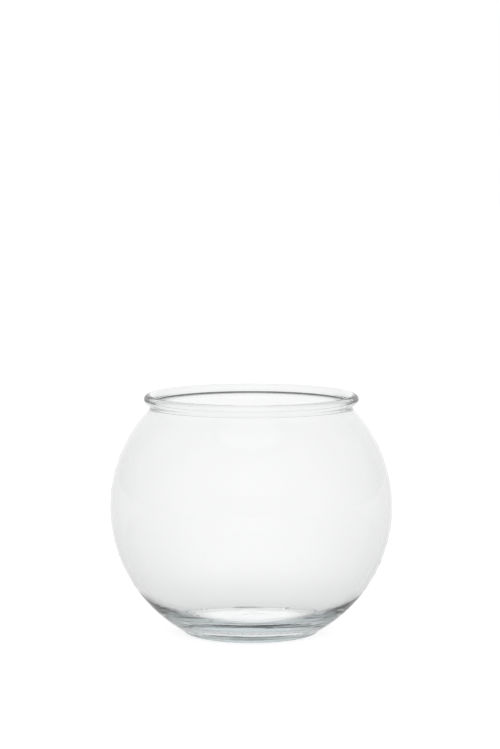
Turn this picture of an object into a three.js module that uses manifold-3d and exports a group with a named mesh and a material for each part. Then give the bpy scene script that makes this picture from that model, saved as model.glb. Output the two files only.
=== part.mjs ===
// Fishbowl vase: one piece of clear soda-lime glass, pressed and blown in a mould.
// Millimetres, +Z up. The origin is on the table, at the middle of the bearing ring.
import * as THREE from 'three';
import { mergeVertices } from 'three/addons/utils/BufferGeometryUtils.js';
import Module from 'manifold-3d';

// Globe
const GLOBE_RADIUS = 75;
const WALL = 1.9;

// Mouth: a fire-polished bead on a short neck
const MOUTH_RADIUS = 51.8;
const BEAD_RADIUS = 2.6;
const NECK_RISE = 5.8;
const NECK_FILLET = 2.1;
const THROAT_FILLET = 5;

// Thick bottom: a gently domed floor that sweeps up into the wall with a large radius
const BASE_THICKNESS = 7;
const FLOOR_DOME_RADIUS = 350;
const FLOOR_FILLET = 42;

// Foot: a low disc under the globe, hollowed so that the vase rests on a ring
const FOOT_RADIUS = 36.2;
const FOOT_HEIGHT = 1.8;
const FOOT_STEP = 1.2;
const FOOT_EDGE_RADIUS = 0.9;
const PUNT_RADIUS = 31;
const PUNT_DEPTH = 1;

// Knurl: short radial grooves that keep the hot foot from sticking to the belt
const KNURL_COUNT = 56;
const KNURL_OUTER_RADIUS = 34.9;
const KNURL_LENGTH = 2.9;
const KNURL_WIDTH = 2.4;
const KNURL_DEPTH = 0.5;
const KNURL_SIDES = 16;

// Largest distance between a curve and the chord that stands for it
const CHORD_ERROR = 0.1;

const GLASS_COLOUR = 0xdfeceb;

// Heights that follow from the sizes above
const globeCentre = FOOT_HEIGHT + legOf(GLOBE_RADIUS, FOOT_RADIUS + FOOT_STEP);
const beadRingRadius = MOUTH_RADIUS + BEAD_RADIUS;
const beadHeight = globeCentre + legOf(GLOBE_RADIUS, beadRingRadius) + NECK_RISE;

// The other short side of a right triangle
function legOf(longSide, shortSide) {
  return Math.sqrt(longSide ** 2 - shortSide ** 2);
}

// Points along an arc in the (radius, height) plane, its two ends included
function arc(centre, radius, startAngle, endAngle) {
  const step = 2 * Math.acos(1 - CHORD_ERROR / radius);
  const count = Math.max(2, Math.ceil(Math.abs(endAngle - startAngle) / step));
  const points = [];
  for (let i = 0; i <= count; i += 1) {
    const angle = startAngle + ((endAngle - startAngle) * i) / count;
    points.push(
      new THREE.Vector2(centre.x + radius * Math.cos(angle), centre.y + radius * Math.sin(angle)),
    );
  }
  return points;
}

function angleFrom(centre, point) {
  return Math.atan2(point.y - centre.y, point.x - centre.x);
}

// Where two circles cross, on the side away from the axis
function outerCrossing(first, firstRadius, second, secondRadius) {
  const gap = first.distanceTo(second);
  const along = (gap ** 2 + firstRadius ** 2 - secondRadius ** 2) / (2 * gap);
  const across = legOf(firstRadius, along);
  const direction = second.clone().sub(first).normalize();
  const sideways = new THREE.Vector2(direction.y, -direction.x);
  return first.clone().addScaledVector(direction, along).addScaledVector(sideways, across);
}

// Underside, from the middle out to the edge of the foot: the punt, the ring and the rounded edge
function undersideOutline() {
  const domeRadius = (PUNT_RADIUS ** 2 + PUNT_DEPTH ** 2) / (2 * PUNT_DEPTH);
  const domeCentre = new THREE.Vector2(0, PUNT_DEPTH - domeRadius);
  const edgeCentre = new THREE.Vector2(FOOT_RADIUS - FOOT_EDGE_RADIUS, FOOT_EDGE_RADIUS);
  const puntEdge = new THREE.Vector2(PUNT_RADIUS, 0);
  return [
    ...arc(domeCentre, domeRadius, Math.PI / 2, angleFrom(domeCentre, puntEdge)),
    ...arc(edgeCentre, FOOT_EDGE_RADIUS, -Math.PI / 2, 0),
  ];
}

// Outside, from the foot up over the globe and the neck to the inner side of the bead
function outsideOutline() {
  const centre = new THREE.Vector2(0, globeCentre);
  const beadCentre = new THREE.Vector2(beadRingRadius, beadHeight);
  const filletCentre = outerCrossing(
    centre,
    GLOBE_RADIUS + NECK_FILLET,
    beadCentre,
    BEAD_RADIUS + NECK_FILLET,
  );
  const footTop = new THREE.Vector2(FOOT_RADIUS + FOOT_STEP, FOOT_HEIGHT);
  const globeEnd = angleFrom(centre, filletCentre);
  const filletEnd = angleFrom(filletCentre, beadCentre);
  return [
    ...arc(centre, GLOBE_RADIUS, angleFrom(centre, footTop), globeEnd),
    ...arc(filletCentre, NECK_FILLET, globeEnd + Math.PI, filletEnd).slice(1),
    ...arc(beadCentre, BEAD_RADIUS, filletEnd - Math.PI, Math.PI).slice(1),
  ];
}

// Inside, from the throat down the wall to the middle of the floor
function insideOutline() {
  const insideRadius = GLOBE_RADIUS - WALL;
  const centre = new THREE.Vector2(0, globeCentre);
  const throatCentre = new THREE.Vector2(MOUTH_RADIUS + THROAT_FILLET, globeCentre);
  throatCentre.y += legOf(insideRadius + THROAT_FILLET, throatCentre.x);
  const throatEnd = angleFrom(centre, throatCentre);
  const domeCentre = new THREE.Vector2(0, BASE_THICKNESS - FLOOR_DOME_RADIUS);
  const floorCentre = outerCrossing(
    domeCentre,
    FLOOR_DOME_RADIUS + FLOOR_FILLET,
    centre,
    insideRadius - FLOOR_FILLET,
  );
  const wallEnd = angleFrom(centre, floorCentre);
  const sweepEnd = angleFrom(floorCentre, domeCentre);
  return [
    ...arc(throatCentre, THROAT_FILLET, Math.PI, throatEnd + Math.PI),
    ...arc(centre, insideRadius, throatEnd, wallEnd).slice(1),
    ...arc(floorCentre, FLOOR_FILLET, wallEnd, sweepEnd).slice(1),
    ...arc(domeCentre, FLOOR_DOME_RADIUS, sweepEnd + Math.PI, Math.PI / 2).slice(1),
  ];
}

const wasm = await Module();
wasm.setup();

function solidOf(geometry) {
  const bare = geometry.clone();
  bare.deleteAttribute('normal');
  bare.deleteAttribute('uv');
  const merged = mergeVertices(bare, 1e-5);
  return new wasm.Manifold(
    new wasm.Mesh({
      numProp: 3,
      vertProperties: new Float32Array(merged.attributes.position.array),
      triVerts: new Uint32Array(merged.index.array),
    }),
  );
}

function geometryOf(solid) {
  const mesh = solid.getMesh();
  const geometry = new THREE.BufferGeometry();
  geometry.setAttribute('position', new THREE.BufferAttribute(mesh.vertProperties, 3));
  geometry.setIndex(new THREE.BufferAttribute(mesh.triVerts, 1));
  geometry.computeVertexNormals();
  return geometry;
}

// The blown body: its section turned about +Z, with one flat facet for each groove
function bodySolid() {
  const outline = [...undersideOutline(), ...outsideOutline(), ...insideOutline()];
  outline.at(0).x = 0; // both ends exactly on the axis
  outline.at(-1).x = 0;
  const body = new THREE.LatheGeometry(outline, KNURL_COUNT);
  body.rotateX(Math.PI / 2);
  return solidOf(body);
}

// One round-bottomed groove across the bearing ring
function grooveSolid(index) {
  const radius = ((KNURL_WIDTH / 2) ** 2 + KNURL_DEPTH ** 2) / (2 * KNURL_DEPTH);
  const groove = new THREE.CylinderGeometry(radius, radius, KNURL_LENGTH, KNURL_SIDES);
  groove.translate(0, KNURL_OUTER_RADIUS - KNURL_LENGTH / 2, KNURL_DEPTH - radius);
  groove.rotateZ(((index + 0.5) * 2 * Math.PI) / KNURL_COUNT);
  return solidOf(groove);
}

function glassBowl() {
  let bowl = bodySolid();
  for (let i = 0; i < KNURL_COUNT; i += 1) {
    bowl = bowl.subtract(grooveSolid(i));
  }
  const material = new THREE.MeshStandardMaterial({
    color: GLASS_COLOUR,
    roughness: 0.03,
    metalness: 0,
    transparent: true,
    opacity: 0.3,
  });
  const mesh = new THREE.Mesh(geometryOf(bowl), material);
  mesh.name = 'glass_bowl';
  return mesh;
}

const vase = new THREE.Group();
vase.name = 'fishbowl_vase';
vase.add(glassBowl());

export default vase;
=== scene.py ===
# Fishbowl vase of clear glass, standing on white paper with a painted glow, in a white tent.
import math

import bpy
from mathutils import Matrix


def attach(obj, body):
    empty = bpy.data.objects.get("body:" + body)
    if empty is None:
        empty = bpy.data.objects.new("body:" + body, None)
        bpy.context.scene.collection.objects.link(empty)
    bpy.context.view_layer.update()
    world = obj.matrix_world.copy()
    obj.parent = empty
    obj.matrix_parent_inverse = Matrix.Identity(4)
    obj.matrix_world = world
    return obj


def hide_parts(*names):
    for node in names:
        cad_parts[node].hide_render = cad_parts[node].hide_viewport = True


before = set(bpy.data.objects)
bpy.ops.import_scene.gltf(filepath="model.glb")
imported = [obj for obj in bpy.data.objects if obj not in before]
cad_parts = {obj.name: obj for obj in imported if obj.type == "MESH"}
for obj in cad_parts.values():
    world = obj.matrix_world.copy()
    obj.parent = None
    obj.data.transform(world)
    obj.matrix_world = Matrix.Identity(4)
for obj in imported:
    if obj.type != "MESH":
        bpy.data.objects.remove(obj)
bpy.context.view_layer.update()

# Glass bowl
# The whole vase is one piece of soda-lime glass, pressed and blown in a mould. Its mouth is
# fire-polished to a round bead, and its thick bottom stands on a ring of short knurl grooves.
mm = 0.001
globe_radius = 75 * mm
wall = 1.9 * mm
mouth_radius = 51.8 * mm
bead_radius = 2.6 * mm
neck_rise = 5.8 * mm
neck_fillet = 2.1 * mm
throat_fillet = 5 * mm
base_thickness = 7 * mm
floor_dome = 350 * mm
floor_fillet = 42 * mm
foot_radius = 36.2 * mm
foot_height = 1.8 * mm
foot_step = 1.2 * mm
foot_edge = 0.9 * mm
punt_radius = 31 * mm
punt_depth = 1 * mm

# How many straight steps stand for each curve of the section, and for the flat ring
punt_steps = 8
ring_steps = 12
edge_steps = 5
globe_steps = 60
neck_steps = 7
bead_steps = 24
throat_steps = 8
wall_steps = 56
sweep_steps = 24
dome_steps = 8


def leg_of(long_side, short_side):
    """The other short side of a right triangle."""
    return math.sqrt(long_side**2 - short_side**2)


def arc(centre, radius, start, end, steps):
    """Points along an arc in the (radius, height) plane of the bowl's section, both ends included."""
    turn = [start + (end - start) * i / steps for i in range(steps + 1)]
    return [(centre[0] + radius * math.cos(a), centre[1] + radius * math.sin(a)) for a in turn]


def angle_from(centre, point):
    return math.atan2(point[1] - centre[1], point[0] - centre[0])


def outer_crossing(first, first_radius, second, second_radius):
    """Where two circles of the section cross, on the side away from the axis."""
    gap = math.dist(first, second)
    along = (gap**2 + first_radius**2 - second_radius**2) / (2 * gap)
    across = leg_of(first_radius, along)
    x, z = ((s - f) / gap for f, s in zip(first, second))
    return (first[0] + x * along + z * across, first[1] + z * along - x * across)


# Half of the section, from the middle of the underside round the outside and the mouth to the floor
globe = (0, foot_height + leg_of(globe_radius, foot_radius + foot_step))
bead_ring = mouth_radius + bead_radius
bead = (bead_ring, globe[1] + leg_of(globe_radius, bead_ring) + neck_rise)

hollow_radius = (punt_radius**2 + punt_depth**2) / (2 * punt_depth)
hollow = (0, punt_depth - hollow_radius)
edge = (foot_radius - foot_edge, foot_edge)
section = arc(hollow, hollow_radius, math.pi / 2, angle_from(hollow, (punt_radius, 0)), punt_steps)
ring_width = edge[0] - punt_radius
section += [(punt_radius + ring_width * i / ring_steps, 0) for i in range(1, ring_steps)]
section += arc(edge, foot_edge, -math.pi / 2, 0, edge_steps)

neck = outer_crossing(globe, globe_radius + neck_fillet, bead, bead_radius + neck_fillet)
neck_start = angle_from(globe, neck)
neck_end = angle_from(neck, bead)
foot_top = (foot_radius + foot_step, foot_height)
section += arc(globe, globe_radius, angle_from(globe, foot_top), neck_start, globe_steps)
section += arc(neck, neck_fillet, neck_start + math.pi, neck_end, neck_steps)[1:]
section += arc(bead, bead_radius, neck_end - math.pi, math.pi, bead_steps)[1:]

inside_radius = globe_radius - wall
throat_x = mouth_radius + throat_fillet
throat = (throat_x, globe[1] + leg_of(inside_radius + throat_fillet, throat_x))
throat_end = angle_from(globe, throat)
dome = (0, base_thickness - floor_dome)
sweep = outer_crossing(dome, floor_dome + floor_fillet, globe, inside_radius - floor_fillet)
wall_end = angle_from(globe, sweep)
sweep_end = angle_from(sweep, dome)
section += arc(throat, throat_fillet, math.pi, throat_end + math.pi, throat_steps)
section += arc(globe, inside_radius, throat_end, wall_end, wall_steps)[1:]
section += arc(sweep, floor_fillet, wall_end, sweep_end, sweep_steps)[1:]
section += arc(dome, floor_dome, sweep_end + math.pi, math.pi / 2, dome_steps)[1:]
section[0] = (0, punt_depth)
section[-1] = (0, base_thickness)

section_mesh = bpy.data.meshes.new("bowl_section")
section_edges = [(i, i + 1) for i in range(len(section) - 1)]
section_mesh.from_pydata([(r, 0, z) for r, z in section], section_edges, [])
bowl = bpy.data.objects.new("clear_glass_bowl", section_mesh)
bpy.context.scene.collection.objects.link(bowl)


def add_node(tree, kind, inputs=None, **settings):
    """Adds a node, sets it up, and fills its inputs with values or links to other nodes."""
    node = tree.nodes.new(kind)
    for name, value in settings.items():
        setattr(node, name, value)
    for key, value in (inputs or {}).items():
        if isinstance(value, bpy.types.NodeSocket):
            tree.links.new(value, node.inputs[key])
        else:
            node.inputs[key].default_value = value
    return node


def linear(hex_colour):
    """An sRGB hex colour as linear red, green, blue and alpha."""
    shares = [int(hex_colour[i : i + 2], 16) / 255 for i in (1, 3, 5)]
    return [s / 12.92 if s <= 0.04045 else ((s + 0.055) / 1.055) ** 2.4 for s in shares] + [1]


# Soda-lime glass: clear and fire-polished, so it shows only its bent view of the white around it.
# A long way through the thick bottom it turns a pale blue-green, from the iron in the sand.
tint_density = 3.9
glass = bpy.data.materials.new("clear_soda_lime_glass")
glass.use_nodes = True
glass_nodes = glass.node_tree
glass_shader = glass_nodes.nodes["Principled BSDF"]
glass_shader.inputs["Base Color"].default_value = linear("#ffffff")
glass_shader.inputs["Roughness"].default_value = 0.0
glass_shader.inputs["IOR"].default_value = 1.52
glass_shader.inputs["Transmission Weight"].default_value = 1.0
tint = add_node(
    glass_nodes,
    "ShaderNodeVolumeAbsorption",
    {"Color": linear("#008e94"), "Density": tint_density},
)
glass_nodes.links.new(tint.outputs["Volume"], glass_nodes.nodes["Material Output"].inputs["Volume"])

# Ripples left by the mould: low waves a few millimetres wide. The noise runs on a ring of the small
# radius ripple_turn, which draws them out along the turn of the bowl. They are strongest in the thick
# bottom, weaker on the wall, and melted away on the fire-polished bead.
ripple_width = 4 * mm
ripple_height = 0.06 * mm
ripple_turn = 8 * mm
radius_share = 0.5
bottom_end = 12 * mm
wall_start = 30 * mm
wall_ripples = 0.3
polish_start = 106 * mm
polish_end = 116 * mm
glass_place = add_node(glass_nodes, "ShaderNodeTexCoord")
glass_flat = add_node(
    glass_nodes,
    "ShaderNodeVectorMath",
    {0: glass_place.outputs["Object"], 1: (1, 1, 0)},
    operation="MULTIPLY",
)
glass_radius = add_node(
    glass_nodes,
    "ShaderNodeVectorMath",
    {0: glass_flat.outputs[0]},
    operation="LENGTH",
)
glass_turn = add_node(
    glass_nodes,
    "ShaderNodeVectorMath",
    {0: glass_flat.outputs[0]},
    operation="NORMALIZE",
)
glass_axes = add_node(glass_nodes, "ShaderNodeSeparateXYZ", {0: glass_place.outputs["Object"]})
glass_along = add_node(
    glass_nodes,
    "ShaderNodeMath",
    {0: glass_radius.outputs["Value"], 1: radius_share, 2: glass_axes.outputs["Z"]},
    operation="MULTIPLY_ADD",
)
glass_up = add_node(glass_nodes, "ShaderNodeCombineXYZ", {"Z": glass_along.outputs[0]})
ripple_place = add_node(
    glass_nodes,
    "ShaderNodeVectorMath",
    {0: glass_turn.outputs[0], 1: (ripple_turn,) * 3, 2: glass_up.outputs[0]},
    operation="MULTIPLY_ADD",
)
ripples = add_node(
    glass_nodes,
    "ShaderNodeTexNoise",
    {"Vector": ripple_place.outputs[0], "Scale": 1 / ripple_width, "Detail": 1.0},
)
ripple_share = add_node(
    glass_nodes,
    "ShaderNodeMapRange",
    {
        "Value": glass_axes.outputs["Z"],
        "From Min": bottom_end,
        "From Max": wall_start,
        "To Min": 1.0,
        "To Max": wall_ripples,
    },
)
unpolished = add_node(
    glass_nodes,
    "ShaderNodeMapRange",
    {
        "Value": glass_axes.outputs["Z"],
        "From Min": polish_start,
        "From Max": polish_end,
        "To Min": 1.0,
        "To Max": 0.0,
    },
)
ripple_strength = add_node(
    glass_nodes,
    "ShaderNodeMath",
    {0: ripple_share.outputs[0], 1: unpolished.outputs[0]},
    operation="MULTIPLY",
)
rippled = add_node(
    glass_nodes,
    "ShaderNodeBump",
    {
        "Height": ripples.outputs["Fac"],
        "Distance": ripple_height,
        "Strength": ripple_strength.outputs[0],
    },
)
glass_nodes.links.new(rippled.outputs[0], glass_shader.inputs["Normal"])

# The turned bowl: every point of the section goes round the axis, and the ring gets its grooves
weld = 0.005 * mm
turning = bpy.data.node_groups.new("turned_bowl", "GeometryNodeTree")
turning.interface.new_socket("Section", in_out="INPUT", socket_type="NodeSocketGeometry")
turning_inputs = {
    "Steps around": ("NodeSocketInt", 448),
    "Grooves": ("NodeSocketInt", 56),
    "Groove width": ("NodeSocketFloat", 2.4 * mm),
    "Groove depth": ("NodeSocketFloat", 0.5 * mm),
    "Groove start": ("NodeSocketFloat", 32 * mm),
    "Groove end": ("NodeSocketFloat", 34.9 * mm),
    "Glass": ("NodeSocketMaterial", glass),
}
for name, (kind, _) in turning_inputs.items():
    turning.interface.new_socket(name, in_out="INPUT", socket_type=kind)
turning.interface.new_socket("Bowl", in_out="OUTPUT", socket_type="NodeSocketGeometry")

given = add_node(turning, "NodeGroupInput").outputs
points = add_node(turning, "GeometryNodeAttributeDomainSize", {"Geometry": given["Section"]})
columns = add_node(
    turning,
    "FunctionNodeIntegerMath",
    {0: given["Steps around"], 1: 1},
    operation="ADD",
)
grid = add_node(
    turning,
    "GeometryNodeMeshGrid",
    {"Vertices X": points.outputs["Point Count"], "Vertices Y": columns.outputs[0]},
)
index = add_node(turning, "GeometryNodeInputIndex")
row = add_node(
    turning,
    "FunctionNodeIntegerMath",
    {0: index.outputs[0], 1: columns.outputs[0]},
    operation="DIVIDE_FLOOR",
)
column = add_node(
    turning,
    "FunctionNodeIntegerMath",
    {0: index.outputs[0], 1: columns.outputs[0]},
    operation="MODULO",
)
place = add_node(turning, "GeometryNodeInputPosition")
drawn = add_node(
    turning,
    "GeometryNodeSampleIndex",
    {"Geometry": given["Section"], "Value": place.outputs[0], "Index": row.outputs[0]},
    data_type="FLOAT_VECTOR",
)
drawn_axes = add_node(turning, "ShaderNodeSeparateXYZ", {0: drawn.outputs[0]})
radius, height = drawn_axes.outputs["X"], drawn_axes.outputs["Z"]
share = add_node(
    turning,
    "ShaderNodeMath",
    {0: column.outputs[0], 1: given["Steps around"]},
    operation="DIVIDE",
)
turn = add_node(
    turning,
    "ShaderNodeMath",
    {0: share.outputs[0], 1: 2 * math.pi},
    operation="MULTIPLY",
)

# How far a point lies from the middle of its groove, along the ring
pitches = add_node(
    turning,
    "ShaderNodeMath",
    {0: share.outputs[0], 1: given["Grooves"]},
    operation="MULTIPLY",
)
in_pitch = add_node(
    turning,
    "ShaderNodeMath",
    {0: pitches.outputs[0], 1: 0.5},
    operation="PINGPONG",
)
pitch_turn = add_node(
    turning,
    "ShaderNodeMath",
    {0: 2 * math.pi, 1: given["Grooves"]},
    operation="DIVIDE",
)
pitch = add_node(
    turning,
    "ShaderNodeMath",
    {0: pitch_turn.outputs[0], 1: radius},
    operation="MULTIPLY",
)
beside = add_node(
    turning,
    "ShaderNodeMath",
    {0: in_pitch.outputs[0], 1: pitch.outputs[0]},
    operation="MULTIPLY",
)
half_width = add_node(
    turning,
    "ShaderNodeMath",
    {0: given["Groove width"], 1: 0.5},
    operation="MULTIPLY",
)
aside = add_node(
    turning,
    "ShaderNodeMath",
    {0: beside.outputs[0], 1: half_width.outputs[0]},
    operation="DIVIDE",
)
fall = add_node(turning, "ShaderNodeMath", {0: aside.outputs[0], 1: 2}, operation="POWER")
arch = add_node(turning, "ShaderNodeMath", {0: 1, 1: fall.outputs[0]}, operation="SUBTRACT")
groove = add_node(
    turning,
    "ShaderNodeMath",
    {0: arch.outputs[0], 1: given["Groove depth"]},
    operation="MULTIPLY",
)
past_start = add_node(
    turning,
    "ShaderNodeMath",
    {0: radius, 1: given["Groove start"]},
    operation="GREATER_THAN",
)
before_end = add_node(
    turning,
    "ShaderNodeMath",
    {0: radius, 1: given["Groove end"]},
    operation="LESS_THAN",
)
cut_there = add_node(
    turning,
    "ShaderNodeMath",
    {0: past_start.outputs[0], 1: before_end.outputs[0]},
    operation="MULTIPLY",
)
cut = add_node(
    turning,
    "ShaderNodeMath",
    {0: cut_there.outputs[0], 1: groove.outputs[0]},
    operation="MULTIPLY",
)
cut_height = add_node(
    turning,
    "ShaderNodeMath",
    {0: height, 1: cut.outputs[0]},
    operation="MAXIMUM",
)
cut_point = add_node(turning, "ShaderNodeCombineXYZ", {"X": radius, "Z": cut_height.outputs[0]})
turned = add_node(
    turning,
    "ShaderNodeVectorRotate",
    {"Vector": cut_point.outputs[0], "Angle": turn.outputs[0]},
    rotation_type="Z_AXIS",
)
body = add_node(
    turning,
    "GeometryNodeSetPosition",
    {"Geometry": grid.outputs["Mesh"], "Position": turned.outputs[0]},
)
closed = add_node(
    turning, "GeometryNodeMergeByDistance", {"Geometry": body.outputs[0], "Distance": weld}
)
outward = add_node(turning, "GeometryNodeFlipFaces", {"Mesh": closed.outputs[0]})
smooth = add_node(turning, "GeometryNodeSetShadeSmooth", {"Geometry": outward.outputs[0]})
whole = add_node(turning, "GeometryNodeRealizeInstances", {"Geometry": smooth.outputs[0]})
dressed = add_node(
    turning,
    "GeometryNodeSetMaterial",
    {"Geometry": whole.outputs[0], "Material": given["Glass"]},
)
add_node(turning, "NodeGroupOutput", {"Bowl": dressed.outputs[0]})

lathe = bowl.modifiers.new("turning", "NODES")
lathe.node_group = turning
sockets = {s.name: s.identifier for s in turning.interface.items_tree if s.in_out == "INPUT"}
for name, (_, value) in turning_inputs.items():
    lathe[sockets[name]] = value
evaluated = bowl.evaluated_get(bpy.context.evaluated_depsgraph_get())
bowl_mesh = bpy.data.meshes.new_from_object(evaluated)
bowl.modifiers.clear()
bowl.data = bowl_mesh
bpy.data.meshes.remove(section_mesh)
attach(bowl, "root")
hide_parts("glass_bowl")

# Table
# A wide sheet of matt white paper that the vase stands on. Its glow is painted light, with no lamp: a
# painted pool of light under the vase, less in a wedge behind and before it, least at the flanks. The
# camera sees white, less the shadow.
table_half = 6
air_gap = 0.03 * mm
# Painted light: glow levels painted into the paper, a painted pool under the vase and a painted
# wedge, in place of a lamp
painted_pool_glow = 0.82
painted_pool_full = 18 * mm
painted_pool_end = 38 * mm
painted_wedge_glow = 0.4
painted_flank_glow = 0.15
camera_light = 0.65
wedge_tip = 0.1
wedge_half = math.radians(50)
table_mesh = bpy.data.meshes.new("white_table")
table_mesh.from_pydata(
    [(x * table_half, y * table_half, -air_gap) for x, y in ((-1, -1), (1, -1), (1, 1), (-1, 1))],
    [],
    [(0, 1, 2, 3)],
)
table = bpy.data.objects.new("white_table", table_mesh)
bpy.context.scene.collection.objects.link(table)
paper = bpy.data.materials.new("matt_white_paper_painted_glow")
paper.use_nodes = True
paper_nodes = paper.node_tree
paper_shader = paper_nodes.nodes["Principled BSDF"]
paper_shader.inputs["Base Color"].default_value = linear("#ececec")
paper_shader.inputs["Roughness"].default_value = 1.0
paper_shader.inputs["Specular IOR Level"].default_value = 0.0
paper_shader.inputs["Emission Color"].default_value = linear("#ffffff")
paper_place = add_node(paper_nodes, "ShaderNodeNewGeometry")
paper_axes = add_node(paper_nodes, "ShaderNodeSeparateXYZ", {0: paper_place.outputs["Position"]})
paper_depth = add_node(
    paper_nodes,
    "ShaderNodeMath",
    {0: paper_axes.outputs["Y"]},
    operation="ABSOLUTE",
)
paper_ahead = add_node(
    paper_nodes,
    "ShaderNodeMath",
    {0: paper_depth.outputs[0], 1: wedge_tip},
    operation="ADD",
)
paper_bearing = add_node(
    paper_nodes,
    "ShaderNodeMath",
    {0: paper_axes.outputs["X"], 1: paper_ahead.outputs[0]},
    operation="ARCTAN2",
)
paper_aside = add_node(
    paper_nodes,
    "ShaderNodeMath",
    {0: paper_bearing.outputs[0]},
    operation="ABSOLUTE",
)
# Painted glow on the paper, brightest in a wedge behind and before the vase and dimmer at the flanks
paper_painted_wedge = add_node(
    paper_nodes,
    "ShaderNodeMapRange",
    {
        "Value": paper_aside.outputs[0],
        "From Min": 0.0,
        "From Max": wedge_half,
        "To Min": painted_wedge_glow,
        "To Max": painted_flank_glow,
    },
    interpolation_type="SMOOTHSTEP",
)
paper_radius = add_node(
    paper_nodes,
    "ShaderNodeVectorMath",
    {0: paper_place.outputs["Position"]},
    operation="LENGTH",
)
# Painted pool of light on the paper under the vase's floor
painted_pool_share = add_node(
    paper_nodes,
    "ShaderNodeMapRange",
    {
        "Value": paper_radius.outputs["Value"],
        "From Min": painted_pool_full,
        "From Max": painted_pool_end,
        "To Min": 1.0,
        "To Max": 0.0,
    },
    interpolation_type="SMOOTHSTEP",
)
paper_painted_glow = add_node(
    paper_nodes,
    "ShaderNodeMix",
    {"Factor": painted_pool_share.outputs[0], "A": paper_painted_wedge.outputs[0], "B": painted_pool_glow},
    data_type="FLOAT",
)
paper_ray = add_node(paper_nodes, "ShaderNodeLightPath")
paper_glow = add_node(
    paper_nodes,
    "ShaderNodeMix",
    {"Factor": paper_ray.outputs["Is Camera Ray"], "A": paper_painted_glow.outputs[0], "B": camera_light},
    data_type="FLOAT",
)
# The painted glow drives the paper's emission; camera rays get an even white instead
paper_nodes.links.new(paper_glow.outputs[0], paper_shader.inputs["Emission Strength"])
table_mesh.materials.append(paper)

# Light
# A white tent: brightest on the lit sweep behind the vase, dimmer before it, and darker at the flanks
# and the open top. The glass bends that difference into its grey edges. The camera sees plain white.
sweep_level = 0.93
flank_level = 0.56
front_level = 0.8
top_level = 0.5
sweep_edge = math.radians(10)
flank_edge = math.radians(55)
front_start = math.radians(80)
front_edge = math.radians(130)
top_start = math.radians(55)
top_edge = math.radians(75)
world = bpy.data.worlds.new("white_tent")
bpy.context.scene.world = world
world.use_nodes = True
tent = world.node_tree
background = tent.nodes["Background"]
direction = add_node(tent, "ShaderNodeTexCoord")
axes = add_node(tent, "ShaderNodeSeparateXYZ", {0: direction.outputs["Generated"]})
bearing = add_node(
    tent,
    "ShaderNodeMath",
    {0: axes.outputs["X"], 1: axes.outputs["Y"]},
    operation="ARCTAN2",
)
aside_of_back = add_node(tent, "ShaderNodeMath", {0: bearing.outputs[0]}, operation="ABSOLUTE")
rise = add_node(tent, "ShaderNodeMath", {0: axes.outputs["Z"]}, operation="ARCSINE")
flanks = add_node(
    tent,
    "ShaderNodeMapRange",
    {
        "Value": aside_of_back.outputs[0],
        "From Min": sweep_edge,
        "From Max": flank_edge,
        "To Min": sweep_level,
        "To Max": flank_level,
    },
    interpolation_type="SMOOTHSTEP",
)
toward_front = add_node(
    tent,
    "ShaderNodeMapRange",
    {"Value": aside_of_back.outputs[0], "From Min": front_start, "From Max": front_edge},
    interpolation_type="SMOOTHSTEP",
)
walls = add_node(
    tent,
    "ShaderNodeMix",
    {"Factor": toward_front.outputs[0], "A": flanks.outputs[0], "B": front_level},
    data_type="FLOAT",
)
open_top = add_node(
    tent,
    "ShaderNodeMapRange",
    {"Value": rise.outputs[0], "From Min": top_start, "From Max": top_edge},
    interpolation_type="SMOOTHSTEP",
)
around = add_node(
    tent,
    "ShaderNodeMix",
    {"Factor": open_top.outputs[0], "A": walls.outputs[0], "B": top_level},
    data_type="FLOAT",
)
ray = add_node(tent, "ShaderNodeLightPath")
level = add_node(
    tent,
    "ShaderNodeMix",
    {"Factor": ray.outputs["Is Camera Ray"], "A": around.outputs[0], "B": 1.0},
    data_type="FLOAT",
)
tent.links.new(level.outputs[0], background.inputs["Strength"])
background.inputs["Color"].default_value = linear("#ffffff")

# Camera
# A long lens 1.4 m in front of the vase, above its mouth and tilted down a little, which gives the
# ellipses of the mouth and the foot that the photograph has.
camera_back = 1.3842
camera_height = 0.2766
camera_tilt = 5.754
lens = bpy.data.cameras.new("camera")
lens.lens = 126.35
lens.sensor_width = 36
lens.shift_x = -0.00167
lens.clip_end = 50
camera = bpy.data.objects.new("camera", lens)
camera.location = (0, -camera_back, camera_height)
camera.rotation_euler = (math.radians(90 - camera_tilt), 0, 0)
bpy.context.scene.collection.objects.link(camera)
bpy.context.scene.camera = camera

bpy.context.scene.view_settings.view_transform = "Standard"

# Light that is still trapped in the glass after this many bounces counts as soaked up. That gives the
# thick heel its dark grey and the mouth its fine dark line.
bounce_limit = 13
bpy.context.scene.cycles.max_bounces = bounce_limit
bpy.context.scene.cycles.transmission_bounces = bounce_limit
bpy.context.scene.cycles.glossy_bounces = bounce_limit
